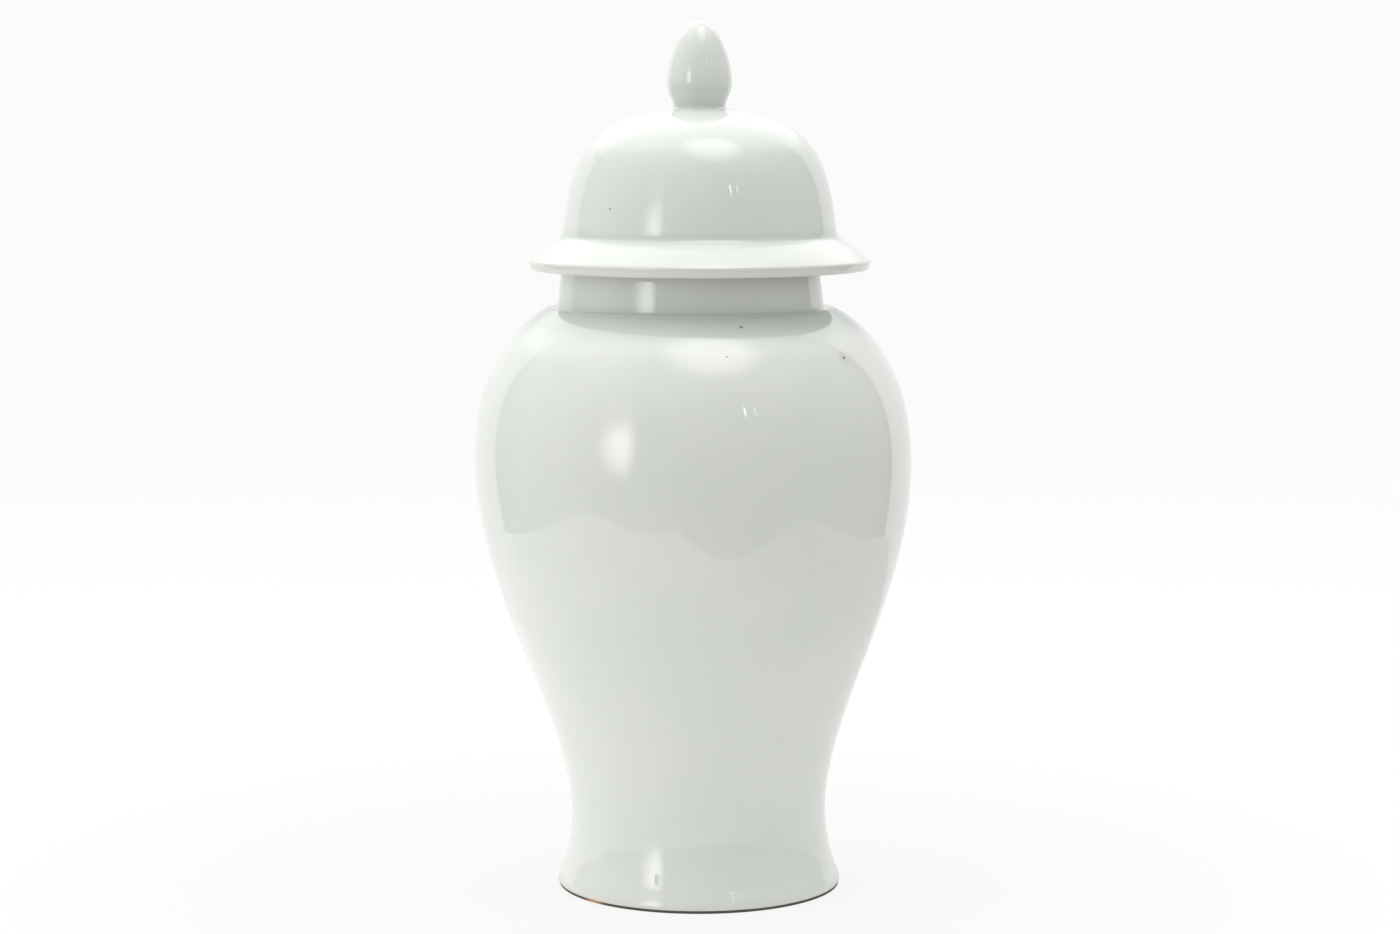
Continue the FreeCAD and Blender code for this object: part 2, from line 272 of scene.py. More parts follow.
class Finishes(bpy.types.PropertyGroup):
    glaze: FloatVectorProperty(
        name="Glaze", description="Colour of the glaze where it is even",
        default=(0.722, 0.746, 0.706), size=3, subtype="COLOR", min=0.0, max=1.0)
    # Also painted shade: besides real gathered glaze, this colour darkens the shoulder round the neck
    # where the lid's flange shades it.
    deep_glaze_and_shade: FloatVectorProperty(
        name="Deep glaze", description="Colour where the glaze gathers thickly",
        default=(0.600, 0.645, 0.600), size=3, subtype="COLOR", min=0.0, max=1.0)
    glaze_thin: FloatVectorProperty(
        name="Thin glaze", description="Colour where the glaze runs thin over an edge",
        default=(0.705, 0.705, 0.650), size=3, subtype="COLOR", min=0.0, max=1.0)
    glaze_roughness: FloatProperty(
        name="Glaze roughness", description="Roughness of the glaze", default=0.03, subtype="FACTOR")
    clay: FloatVectorProperty(
        name="Bare clay", description="Colour of the unglazed clay",
        default=(0.660, 0.600, 0.510), size=3, subtype="COLOR", min=0.0, max=1.0)
    clay_flashing: FloatVectorProperty(
        name="Flashing", description="Orange that the fire leaves beside the glaze",
        default=(0.520, 0.270, 0.110), size=3, subtype="COLOR", min=0.0, max=1.0)
    # Painted shadow: this near-black colour on the foot ring's outer face stands for the contact shadow
    # where the jar meets the table.
    painted_foot_shadow: FloatVectorProperty(
        name="Painted foot shadow", description="Dark line of painted shadow on the foot ring's outer face",
        default=(0.050, 0.040, 0.034), size=3, subtype="COLOR", min=0.0, max=1.0)
    stain: FloatVectorProperty(
        name="Stain", description="Beige tint round some of the iron specks",
        default=(0.500, 0.470, 0.370), size=3, subtype="COLOR", min=0.0, max=1.0)
    iron: FloatVectorProperty(
        name="Iron", description="Colour of the iron specks", default=(0.070, 0.045, 0.030),
        size=3, subtype="COLOR", min=0.0, max=1.0)


class StageLook(bpy.types.PropertyGroup):
    backdrop: FloatProperty(
        name="Backdrop", description="How white the background is", default=0.96, subtype="FACTOR")
    room: FloatProperty(
        name="Room", description="Soft light that comes from all sides", default=0.88, min=0.0)
    overhead: FloatProperty(
        name="Overhead", description="Further light from straight overhead", default=1.9, min=0.0)
    mirrored_room: FloatProperty(
        name="Mirrored room", description="Brightness of the room as the glaze mirrors it",
        default=0.24, min=0.0)
    ceiling: FloatProperty(
        name="Ceiling", description="Brightness of the ceiling as the glaze mirrors it",
        default=0.85, min=0.0)
    skylight: FloatProperty(
        name="Skylight", description="Brightness of the wide lamp overhead as the glaze mirrors it",
        default=1.08, min=0.0)
    rim_light: FloatProperty(
        name="Rim light", description="Brightness of the backdrop as the glaze mirrors it",
        default=1.0, min=0.0)
    window: FloatProperty(
        name="Window", description="Brightness of the tall soft lamp on the left",
        default=5.6, min=0.0)
    softbox: FloatProperty(
        name="Softbox", description="Brightness of the soft lamp overhead", default=3.5, min=0.0)
    glint: FloatProperty(
        name="Glint", description="Brightness of the small far lamp on the right", default=17.0, min=0.0)
    table_width: FloatProperty(
        name="Table width", description="Width of the white table", default=1.26, unit="LENGTH")
    table_depth: FloatProperty(
        name="Table depth", description="Reach of the table before and behind the jar",
        default=0.46, unit="LENGTH")
    table_light: FloatProperty(
        name="Table light", description="Light that falls on the table", default=1.63, min=0.0)
    shadow_share: FloatProperty(
        name="Shadow", description="How strongly the jar's shadow shows on the table",
        default=0.095, subtype="FACTOR")


def point(radius, height):
    """Place on a cross-section."""
    return Vector((radius, 0.0, height))


def toward(start, end, run, rise):
    """Place on the way from one place to another, by its shares of the run and the rise."""
    return point(start.x + run * (end.x - start.x), start.z + rise * (end.z - start.z))


def line(outline, *ends):
    """Draw straight on to each of the given places."""
    outline.extend(ends)


def curve(outline, start_handle, end_handle, end, parts):
    """Draw a smooth curve on from the last place."""
    outline.extend(interpolate_bezier(outline[-1], start_handle, end_handle, end, parts + 1)[1:])


def round_corner(outline, corner, end, parts=6):
    """Draw a quarter round on from the last place, inside a corner."""
    start_handle = outline[-1].lerp(corner, ROUND_SHARE)
    curve(outline, start_handle, end.lerp(corner, ROUND_SHARE), end, parts)


def rounded_foot(outline, inside, outside, height, edge):
    """Draw on down to a height and across it from inside to outside, with round edges."""
    line(outline, point(inside, height + edge))
    round_corner(outline, point(inside, height), point(inside + edge, height))
    line(outline, point(outside - edge, height))
    round_corner(outline, point(outside, height), point(outside, height + edge))


def turn(outline, centre, closed=False):
    """Turn a cross-section about the upright line through a centre on the X axis."""
    shape = bmesh.new()
    verts = [shape.verts.new(place + Vector((centre, 0.0, 0.0))) for place in outline]
    edges = [shape.edges.new(pair) for pair in zip(verts, verts[1:])]
    if closed:
        edges.append(shape.edges.new((verts[-1], verts[0])))
    axis = dict(cent=(centre, 0.0, 0.0), axis=(0.0, 0.0, 1.0))
    sector = math.tau / SECTORS
    bmesh.ops.spin(shape, geom=verts + edges, angle=sector, steps=TURN_STEPS // SECTORS, **axis)
    bmesh.ops.spin(shape, geom=shape.verts[:] + shape.edges[:] + shape.faces[:],
                   angle=math.tau - sector, steps=SECTORS - 1, use_duplicate=True, **axis)
    bmesh.ops.remove_doubles(shape, verts=shape.verts, dist=WELD_DISTANCE)
    bmesh.ops.recalc_face_normals(shape, faces=shape.faces)
    return shape


def gather_glaze_and_shade(shape, centre, places):
    """Mark how thickly the glaze lies, more in a hollow and less on an edge; a deep mark can also be
    painted shade.

    Each place comes with its reach and with how deep the mark is there.
    """
    layer = shape.verts.layers.float.new("glaze_depth_and_shade")
    for vert in shape.verts:
        here = point(math.hypot(vert.co.x - centre, vert.co.y), vert.co.z)
        vert[layer] = sum(depth * math.exp(-((here - place).length / reach) ** 2)
                          for place, reach, depth in places)


def wander(shape, size):
    """Let a thrown surface wander a little from a true round."""
    shape.normal_update()
    moves = []
    for vert in shape.verts:
        broad = noise.noise(vert.co / size.unevenness_length)
        fine = noise.noise(vert.co / size.unevenness_length * 2.7)
        moves.append(vert.normal * size.unevenness * (broad + 0.3 * fine))
    for vert, move in zip(shape.verts, moves):
        vert.co += move


def lean(shape, size):
    """Lean the jar as the firing did."""
    for vert in shape.verts:
        share = vert.co.z / NECK.z
        vert.co.x += size.lean_at_foot + share * (size.lean_at_rim - size.lean_at_foot)


def make_piece(name, shape, body, slot, *nodes):
    """Make a piece that rides on a body and stands for the given nodes."""
    mesh = bpy.data.meshes.new(name)
    shape.to_mesh(mesh)
    shape.free()
    mesh.shade_smooth()
    mesh.materials.append(glaze_material() if slot == "white_glaze" else clay_material())
    piece = bpy.data.objects.new(name, mesh)
    bpy.context.scene.collection.objects.link(piece)
    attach(piece, body)
    if nodes:
        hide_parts(*nodes)


def plug(tree, socket, value):
    """Link a node's output to a socket, or set the socket to a value, unless it is none."""
    if isinstance(value, bpy.types.NodeSocket):
        tree.links.new(value, socket)
    elif value is not None:
        socket.default_value = value


def add_node(tree, kind, *values, **settings):
    """New node with its settings made and its first inputs linked or set, in their order."""
    node = tree.nodes.new("ShaderNode" + kind)
    for name, setting in settings.items():
        setattr(node, name, setting)
    for socket, value in zip(node.inputs, values):
        plug(tree, socket, value)
    return node


def maths(tree, operation, *values):
    """Result of a Math node."""
    return add_node(tree, "Math", *values, operation=operation).outputs[0]


def vector_maths(tree, operation, *values):
    """Results of a Vector Math node."""
    return add_node(tree, "VectorMath", *values, operation=operation).outputs


def ease(tree, value, low, high, start=0.0, end=1.0):
    """Value eased smoothly from start to end, between low and high."""
    return add_node(tree, "MapRange", value, low, high, start, end,
                    interpolation_type="SMOOTHSTEP").outputs["Result"]


def noise_at(tree, place, scale, detail=2.0, roughness=0.5):
    """Noise in the piece's own place."""
    return add_node(tree, "TexNoise", place, None, scale, detail, roughness).outputs["Fac"]


def mix_colour(tree, factor, first, second):
    """Colour mixed from two."""
    node = add_node(tree, "Mix", factor, data_type="RGBA")
    for socket, colour in ((node.inputs[6], first), (node.inputs[7], second)):
        linked = isinstance(colour, bpy.types.NodeSocket)
        plug(tree, socket, colour if linked else (*colour, 1.0))
    return node.outputs[2]


def new_material(name):
    """Empty node material with its tree, its shader and its place."""
    material = bpy.data.materials.new(name)
    material.use_nodes = True
    tree = material.node_tree
    shader = next(node for node in tree.nodes if node.type == "BSDF_PRINCIPLED")
    return material, tree, shader, add_node(tree, "TexCoord").outputs["Object"]


def bump(tree, height, distance, strength=1.0, normal=None):
    """Surface normal shaken by a height."""
    node = add_node(tree, "Bump", strength, distance)
    plug(tree, node.inputs["Height"], height)
    plug(tree, node.inputs["Normal"], normal)
    return node.outputs["Normal"]


def marks(tree, place, spots, core=0.4):
    """How far a place lies within any of the small marks, each given as its middle and its reach."""
    most = 0.0
    for middle, reach in spots:
        away = vector_maths(tree, "DISTANCE", place, middle)["Value"]
        most = maths(tree, "MAXIMUM", most, ease(tree, away, reach, core * reach))
    return most


def glaze_material():
    """Glossy white glaze, greenish where thick and also where shade is painted as thick glaze, cream
    where thin, with specks and a dent.
    """
    name = "white glaze"
    if name in bpy.data.materials:
        return bpy.data.materials[name]
    finish = bpy.context.scene.temple_jar_finish
    material, tree, shader, place = new_material(name)
    depth = add_node(tree, "Attribute", attribute_name="glaze_depth_and_shade").outputs["Fac"]
    cloud = ease(tree, noise_at(tree, place, CLOUD_SCALE, 3.0), 0.35, 0.65)
    colour = mix_colour(tree, maths(tree, "MULTIPLY", cloud, 0.16), finish.glaze, finish.deep_glaze_and_shade)
    # Deep glaze colour: partly real gathering, partly painted shade on the shoulder round the neck.
    colour = mix_colour(tree, ease(tree, depth, 0.0, 1.0), colour, finish.deep_glaze_and_shade)
    colour = mix_colour(tree, ease(tree, depth, 0.0, -1.0), colour, finish.glaze_thin)
    stain = maths(tree, "MULTIPLY", marks(tree, place, STAINS, 0.0), 0.35)
    colour = mix_colour(tree, stain, colour, finish.stain)
    away = add_node(tree, "TexVoronoi", place, None, SPECK_SCALE).outputs["Distance"]
    back = add_node(tree, "SeparateXYZ", place).outputs["Y"]
    speck = maths(tree, "MULTIPLY", ease(tree, away, 0.030, 0.012), ease(tree, back, 0.0, 0.02))
    speck = maths(tree, "MAXIMUM", speck, marks(tree, place, SPECKS))
    colour = mix_colour(tree, maths(tree, "MULTIPLY", speck, 0.85), colour, finish.iron)
    plug(tree, shader.inputs["Base Color"], colour)
    smear = noise_at(tree, place, SMEAR_SCALE, 4.0)
    plug(tree, shader.inputs["Roughness"], ease(
        tree, smear, 0.3, 0.8, finish.glaze_roughness * 0.7, finish.glaze_roughness * 1.6))
    shader.inputs["IOR"].default_value = GLAZE_IOR
    waves = bump(tree, noise_at(tree, place, WAVE_SCALE, 1.0), WAVE_HEIGHT)
    pores = bump(tree, noise_at(tree, place, PORE_SCALE, 2.0), PORE_HEIGHT, normal=waves)
    dent = maths(tree, "MULTIPLY", marks(tree, place, DENTS, 0.0), -1.0)
    plug(tree, shader.inputs["Normal"], bump(tree, dent, DENT_HEIGHT, normal=pores))
    return material


def clay_material():
    """Bare fired clay: matt and grainy, with orange flashing in places and painted shadow on the foot
    ring's outer face.
    """
    name = "bare clay"
    if name in bpy.data.materials:
        return bpy.data.materials[name]
    finish, size = bpy.context.scene.temple_jar_finish, bpy.context.scene.temple_jar_jar
    material, tree, shader, place = new_material(name)
    grain = noise_at(tree, place, GRAIN_SCALE, 3.0, 0.7)
    dark = [share * 0.75 for share in finish.clay]
    colour = mix_colour(tree, ease(tree, grain, 0.35, 0.75), dark, finish.clay)
    patch = ease(tree, noise_at(tree, place, PATCH_SCALE, 2.0), 0.55, 0.72)
    colour = mix_colour(tree, maths(tree, "MULTIPLY", patch, 0.25), colour, finish.clay_flashing)
    # Painted shadow: the foot ring's outer face is darkened nearly to black for the contact shadow at
    # the table.
    level = vector_maths(
        tree, "MULTIPLY_ADD", place, (1.0, 1.0, 0.0), (-size.lean_at_foot, 0.0, 0.0))["Vector"]
    outer = ease(tree, vector_maths(tree, "LENGTH", level)["Value"],
                 size.foot_radius - FOOT_SHADOW_STARTS, size.foot_radius - FOOT_SHADOW_FULL)
    colour = mix_colour(tree, maths(tree, "MULTIPLY", outer, 0.9), colour, finish.painted_foot_shadow)
    colour = mix_colour(tree, marks(tree, place, FLASHES, 0.3), colour, finish.clay_flashing)
    plug(tree, shader.inputs["Base Color"], colour)
    plug(tree, shader.inputs["Roughness"], ease(tree, grain, 0.3, 0.7, 0.75, 0.95))
    shader.inputs["IOR"].default_value = CLAY_IOR
    plug(tree, shader.inputs["Normal"], bump(tree, grain, GRAIN_HEIGHT, 0.6))
    return material


def draw_foot(outline, size):
    """Draw the recess under the base and the foot ring, up to the glaze's lower end outside."""
    ring_inside = size.foot_radius - size.foot_ring_width
    slope = size.base_recess_taper / size.base_recess
    step = size.glaze_thickness
    recess_top = point(ring_inside - size.base_recess_taper, size.base_recess)
    line(outline, point(0.0, size.base_recess), recess_top - point(RECESS_CORNER, 0.0))
    round_corner(outline, recess_top, recess_top + point(slope * RECESS_CORNER, -RECESS_CORNER))
    inner_edge = point(ring_inside - slope * size.glaze_line, size.glaze_line)
    line(outline, inner_edge + point(-slope * step, step))
    round_corner(outline, inner_edge, inner_edge + point(step, 0.0))
    outer_edge = point(size.foot_radius, size.glaze_line)
    line(outline, outer_edge - point(step, 0.0))
    round_corner(outline, outer_edge, outer_edge + point(0.0, step))


def draw_neck(outline, size, shoulder_top):
    """Draw the hollow at the neck's foot, the neck and its rim with a bare band, down its bore."""
    corner = point(size.rim_radius + size.neck_taper, shoulder_top - size.neck_hollow_depth)
    while outline[-1].x < corner.x + size.neck_hollow_width:
        outline.pop()
    pull = HOLLOW_PULL * size.neck_hollow_width
    hollow = corner + point(size.neck_fillet, 0.0)
    curve(outline, outline[-1] + pull * (outline[-1] - outline[-2]).normalized(),
          hollow + point(pull, 0.0), hollow, parts=10)
    rim = point(size.rim_radius, NECK.z)
    bore = rim - point(size.neck_wall, 0.0)
    across, down = point(size.rim_edge_radius, 0.0), point(0.0, size.rim_edge_radius)
    neck_root = corner.lerp(rim, size.neck_fillet / (rim.z - corner.z))
    round_corner(outline, corner, neck_root, 5)
    line(outline, neck_root.lerp(rim, 0.3), neck_root.lerp(rim, 0.6), rim - down)
    round_corner(outline, rim, rim - across)
    step, skin = point(size.glaze_thickness, 0.0), point(0.0, size.glaze_thickness)
    bare_out, bare_in = rim - across - step, bore + across + step
    curve(outline, bare_out, bare_out - skin, bare_out - step - skin, parts=4)
    line(outline, bare_in + step - skin)
    curve(outline, bare_in - skin, bare_in, bore + across, parts=4)
    round_corner(outline, bore, bore - down)
    line(outline, point(bore.x, shoulder_top), point(bore.x, shoulder_top - size.shoulder_lip))


def draw_inside(outline, size, waist, belly, out, rise):
    """Draw the wall inside from the neck's opening over the seam's ridge to the floor."""
    opening = outline[-1]
    inside = belly - point(size.jar_wall, 0.0)
    half = point(0.0, size.seam_ridge_height)
    ridge_top, ridge_foot = inside + half, inside - half
    ridge = inside - point(size.seam_ridge, 0.0)
    curve(outline, point(opening.x + out, opening.z - SHOULDER_DROP * (opening.z - belly.z)),
          inside + point(0.0, rise), ridge_top, parts=30)
    curve(outline, ridge_top - 0.5 * half, ridge + 0.5 * half, ridge, parts=6)
    curve(outline, ridge - 0.5 * half, ridge_foot + 0.5 * half, ridge_foot, parts=6)
    inner_waist = waist - point(size.waist_wall, 0.0)
    curve(outline, toward(ridge_foot, inner_waist, 0.0, BELLY_UNDER),
          toward(inner_waist, ridge_foot, 0.0, WAIST_OVER), inner_waist, parts=36)
    middle = point(0.0, size.base_recess + size.base_thickness)
    curve(outline, toward(inner_waist, middle, 0.0, FLOOR_CURVE),
          toward(middle, inner_waist, FLOOR_CURVE, 0.0), toward(middle, inner_waist, FLOOR_FLAT, 0.0),
          parts=16)
    line(outline, 0.5 * (outline[-1] + middle), middle)


def jar_outline(size):
    """Cross-section of the glazed jar, from its base's underside round to its floor inside."""
    band = point(size.foot_radius, size.foot_band_height)
    waist = point(size.waist_radius, size.waist_height)
    belly = point(SEAM.x, SEAM.z)
    neck_foot = point(NECK.x, SHOULDER.z)
    outline = []
    draw_foot(outline, size)
    flare = [band]
    curve(flare, toward(band, waist, FOOT_PULL_IN, FOOT_RISE), toward(waist, band, 0.0, WAIST_UNDER),
          waist, parts=40)
    flare = [place for place in flare if (place - band).length > FOOT_ROLL_ABOVE * size.foot_roll]
    line(outline, band - point(0.0, FOOT_ROLL_BELOW * size.foot_roll))
    curve(outline, outline[-1].lerp(band, FILLET_PULL), flare[0].lerp(band, FILLET_PULL),
          flare[0], parts=8)
    line(outline, *flare[1:])
    curve(outline, toward(waist, belly, 0.0, WAIST_OVER), toward(belly, waist, 0.0, BELLY_UNDER),
          belly, parts=70)
    out = SHOULDER_OUT * (belly.x - neck_foot.x)
    # This rise gives the wall the same bend above the seam as below it.
    rise = BELLY_UNDER * (belly.z - waist.z) * math.sqrt(
        (belly.x - neck_foot.x - out) / (belly.x - waist.x))
    curve(outline, belly + point(0.0, rise), toward(neck_foot, belly, SHOULDER_OUT, SHOULDER_DROP),
          neck_foot, parts=56)
    draw_neck(outline, size, neck_foot.z)
    draw_inside(outline, size, waist, belly, out, rise)
    return outline


class TEMPLEJAR_OT_jar(bpy.types.Operator):
    """Make the glazed jar: foot, body, shoulder and neck in one fired skin"""

    bl_idname = "temple_jar.jar"
    bl_label = "Glazed jar"

    def execute(self, context):
        size = context.scene.temple_jar_jar
        shape = turn(jar_outline(size), 0.0)
        neck_root = point(size.rim_radius + size.neck_taper, SHOULDER.z)
        gather_glaze_and_shade(shape, 0.0, [
            # Painted shade: these two marks round the neck's foot darken the shoulder where the lid's
            # flange shades it, besides the glaze gathered in the hollow there.
            (neck_root + point(0.0040, -0.0024), 0.0050, 0.6),
            (neck_root + point(0.0130, -0.0085), 0.0105, 0.9),
            (point(size.waist_radius, size.waist_height), 0.022, 0.25),
            (point(size.rim_radius, NECK.z), 0.0016, -0.9),
            (point(size.foot_radius, size.glaze_line), 0.0022, -0.9),
        ])
        wander(shape, size)
        lean(shape, size)
        make_piece("jar_glaze", shape, "jar", "white_glaze",
                   "jar_lower_section", "jar_upper_section", "jar_neck")
        return {"FINISHED"}


class TEMPLEJAR_OT_jar_clay(bpy.types.Operator):
    """Make the bare clay that shows on the jar: the foot ring and the wiped rim"""

    bl_idname = "temple_jar.jar_clay"
    bl_label = "Bare foot and rim"

    def execute(self, context):
        size = context.scene.temple_jar_jar
        skin = size.glaze_thickness
        outside = size.foot_radius - skin
        inside = size.foot_radius - size.foot_ring_width + skin
        top = 0.5 * size.base_recess
        outline = [point(inside - 0.4 * size.base_recess_taper, top)]
        rounded_foot(outline, inside, outside, 0.0, size.foot_edge_radius)
        line(outline, point(outside, top))
        foot = turn(outline, 0.0, closed=True)
        lean(foot, size)
        make_piece("foot_ring_clay", foot, "jar", "bare_clay")
        edge = size.rim_edge_radius + skin
        bore = size.rim_radius - size.neck_wall
        top, bottom = NECK.z - 0.3 * skin, NECK.z - size.rim_edge_radius
        outline = [point(bore + edge, bottom), point(size.rim_radius - edge, bottom),
                   point(size.rim_radius - edge, top), point(bore + edge, top)]
        rim = turn(outline, 0.0, closed=True)
        lean(rim, size)
        make_piece("neck_rim_clay", rim, "jar", "bare_clay")
        return {"FINISHED"}


class TEMPLEJAR_OT_lid(bpy.types.Operator):
    """Make the glazed lid: dome and overhanging flange, open underneath"""

    bl_idname = "temple_jar.lid"
    bl_label = "Glazed lid"

    def execute(self, context):
        size = context.scene.temple_jar_lid
        jar = context.scene.temple_jar_jar
        centre = 0.5 * (FLANGE_LOW.x + FLANGE_HIGH.x)
        seat = FLANGE_LOW.z
        ring_outside = 0.5 * (RING_HIGH.x - RING_LOW.x)
        ring_inside = ring_outside - size.ring_wall
        tip = point(0.5 * (FLANGE_HIGH.x - FLANGE_LOW.x), seat + size.flange_tip_height)
        root = point(size.dome_root_radius, seat + size.dome_root_height)
        crown = point(size.finial_base_radius, FLANGE_HIGH.z)
        outline = [point(0.0, crown.z), point(0.5 * crown.x, crown.z), crown]
        dome = [crown]
        curve(dome, toward(crown, root, DOME_TOP_RUN, DOME_TOP_DROP),
              toward(root, crown, DOME_LEAN, DOME_RISE), root, parts=64)
        edge = size.flange_edge
        upper = tip + point(0.2 * edge, 0.5 * edge)
        slope = toward(upper, root, FLANGE_TOP_LEAN, FLANGE_TOP_STEEP) - upper
        flange = [root]
        curve(flange, toward(root, upper, FLANGE_TOP_RUN, FLANGE_TOP_RISE), upper + slope,
              upper + edge * slope.normalized(), parts=30)
        above = [place for place in dome if (place - root).length > size.dome_root_fillet]
        below = [place for place in flange if (place - root).length > size.dome_root_fillet]
        line(outline, *above[1:])
        curve(outline, above[-1].lerp(root, FILLET_PULL), below[0].lerp(root, FILLET_PULL),
              below[0], parts=8)
        line(outline, *below[1:])
        under = point(tip.x - size.flange_undercut, seat - size.flange_droop)
        face = edge * (under - upper).normalized()
        round_corner(outline, upper, upper + face)
        line(outline, upper.lerp(under, 0.5), under - face)
        round_corner(outline, under, under - point(edge, 0.0))
        skin = jar.glaze_thickness
        line(outline, point(size.seat_radius + skin, seat))
        round_corner(outline, point(size.seat_radius, seat), point(size.seat_radius, seat + skin), 4)
        web = point(ring_inside, seat + size.lid_web)
        inner_root = point(root.x - size.lid_wall, root.z)
        inner_crown = point(crown.x, crown.z - size.lid_wall)
        line(outline, point(ring_inside + skin, seat + skin), point(ring_inside, seat + 2.0 * skin), web)
        curve(outline, toward(web, inner_root, WEB_CURVE, 0.0), toward(inner_root, web, 0.0, WEB_CURVE),
              inner_root, parts=14)
        curve(outline, toward(inner_root, inner_crown, DOME_LEAN, DOME_RISE),
              toward(inner_crown, inner_root, DOME_TOP_RUN, DOME_TOP_DROP), inner_crown, parts=30)
        line(outline, point(0.5 * inner_crown.x, inner_crown.z), point(0.0, inner_crown.z))
        shape = turn(outline, centre)
        gather_glaze_and_shade(shape, centre, [
            (root, 0.0030, 1.0),
            (root + point(-0.002, 0.028), 0.034, 0.25),
            (crown, 0.0050, 0.8),
            (tip, 0.0026, -1.0),
            (under, 0.0020, -0.6),
        ])
        wander(shape, jar)
        make_piece("lid_glaze", shape, "lid", "white_glaze", "lid_dome")
        return {"FINISHED"}


class TEMPLEJAR_OT_lid_clay(bpy.types.Operator):
    """Make the bare clay under the lid: the locating ring and the band that rests on the rim"""

    bl_idname = "temple_jar.lid_clay"
    bl_label = "Locating ring and seat"

    def execute(self, context):
        size = context.scene.temple_jar_lid
        skin = context.scene.temple_jar_jar.glaze_thickness
        centre = 0.5 * (RING_LOW.x + RING_HIGH.x)
        outside = 0.5 * (RING_HIGH.x - RING_LOW.x)
        inside = outside - size.ring_wall
        top = RING_HIGH.z
        outline = [point(inside + skin, top + 2.0 * skin), point(inside + skin, top - skin),
                   point(inside, top - 3.0 * skin)]
        rounded_foot(outline, inside, outside - size.ring_taper, RING_LOW.z, size.ring_edge_radius)
        line(outline, point(outside, top - 2.0 * skin))
        round_corner(outline, point(outside, top), point(outside + 2.0 * skin, top))
        line(outline, point(outside + 2.0 * skin, top + 2.0 * skin))
        ring = turn(outline, centre, closed=True)
        make_piece("locating_ring_clay", ring, "lid", "bare_clay", "lid_locating_ring")
        band = [point(outside, top), point(outside, top + 3.0 * skin),
                point(size.seat_radius + skin, top + 3.0 * skin),
                point(size.seat_radius + skin, top + 0.5 * skin), point(size.seat_radius - skin, top)]
        make_piece("lid_seat_clay", turn(band, centre, closed=True), "lid", "bare_clay")
        return {"FINISHED"}


class TEMPLEJAR_OT_finial(bpy.types.Operator):
    """Make the onion finial, with glaze gathered round its foot"""

    bl_idname = "temple_jar.finial"
    bl_label = "Finial"

    def execute(self, context):
        size = context.scene.temple_jar_lid
        centre = 0.5 * (FINIAL_LOW.x + FINIAL_HIGH.x)
        base = point(size.finial_base_radius, FINIAL_LOW.z)
        widest = point(0.5 * (FINIAL_HIGH.x - FINIAL_LOW.x), base.z + size.finial_widest_height)
        tip = point(0.0, FINIAL_HIGH.z)
        skirt = size.finial_fillet
        nip = toward(base, widest, 0.0, FINIAL_NIP) - point(size.finial_nip, 0.0)
        side = [base]
        curve(side, nip, toward(widest, base, 0.0, FINIAL_UNDER), widest, parts=26)
        side = [place for place in side if place.z > base.z + skirt]
        outline = [point(0.0, base.z - skirt), point(base.x + skirt, base.z - skirt),
                   point(base.x + skirt, base.z)]
        curve(outline, point(side[0].x + 0.3 * skirt, base.z), point(side[0].x, base.z + 0.4 * skirt),
              side[0], parts=8)
        line(outline, *side[1:])
        curve(outline, toward(widest, tip, 0.0, FINIAL_OVER), point(FINIAL_TIP * widest.x, tip.z),
              tip, parts=48)
        shape = turn(outline, centre)
        gather_glaze_and_shade(shape, centre, [(base + point(0.0, 0.004), 0.0095, 0.65), (tip, 0.0050, -0.1)])
        wander(shape, context.scene.temple_jar_jar)
        make_piece("finial_glaze", shape, "lid", "white_glaze", "lid_finial")
        return {"FINISHED"}


class TEMPLEJAR_OT_stage(bpy.types.Operator):
    """Make the pale floor, the soft light round the jar and the camera"""

    bl_idname = "temple_jar.stage"
    bl_label = "Stage"

    def execute(self, context):
        look = context.scene.temple_jar_stage
        shape = bmesh.new()
        bmesh.ops.create_grid(shape, x_segments=len(TABLE_EDGE) - 1, y_segments=1, size=0.5)
        bmesh.ops.scale(shape, vec=(look.table_width, 2.0 * look.table_depth, 1.0), verts=shape.verts)
        front = sorted((vert for vert in shape.verts if vert.co.y < 0.0), key=lambda vert: vert.co.x)
        for vert, reach in zip(front, TABLE_EDGE):
            vert.co.y = -reach * look.table_depth
        mesh = bpy.data.meshes.new("floor")
        shape.to_mesh(mesh)
        shape.free()
        mesh.materials.append(floor_material(look))
        floor = bpy.data.objects.new("floor", mesh)
        context.scene.collection.objects.link(floor)
        context.scene.world = room_world(look)
        camera = bpy.data.objects.new("camera", bpy.data.cameras.new("camera"))
        camera.data.lens = LENS
        camera.data.sensor_width = SENSOR_WIDTH
        camera.location = CAMERA_PLACE
        camera.rotation_euler = (math.radians(CAMERA_TILT), 0.0, 0.0)
        context.scene.collection.objects.link(camera)
        context.scene.camera = camera
        context.scene.view_settings.view_transform = "Standard"
        return {"FINISHED"}


def show_apart(tree, shader, seen, output):
    """Show one shader to the camera, and leave the other to all other rays."""
    from_camera = add_node(tree, "LightPath").outputs["Is Camera Ray"]
    pick = add_node(tree, "MixShader", from_camera, shader.outputs[0], seen.outputs[0])
    add_node(tree, output, pick.outputs[0])


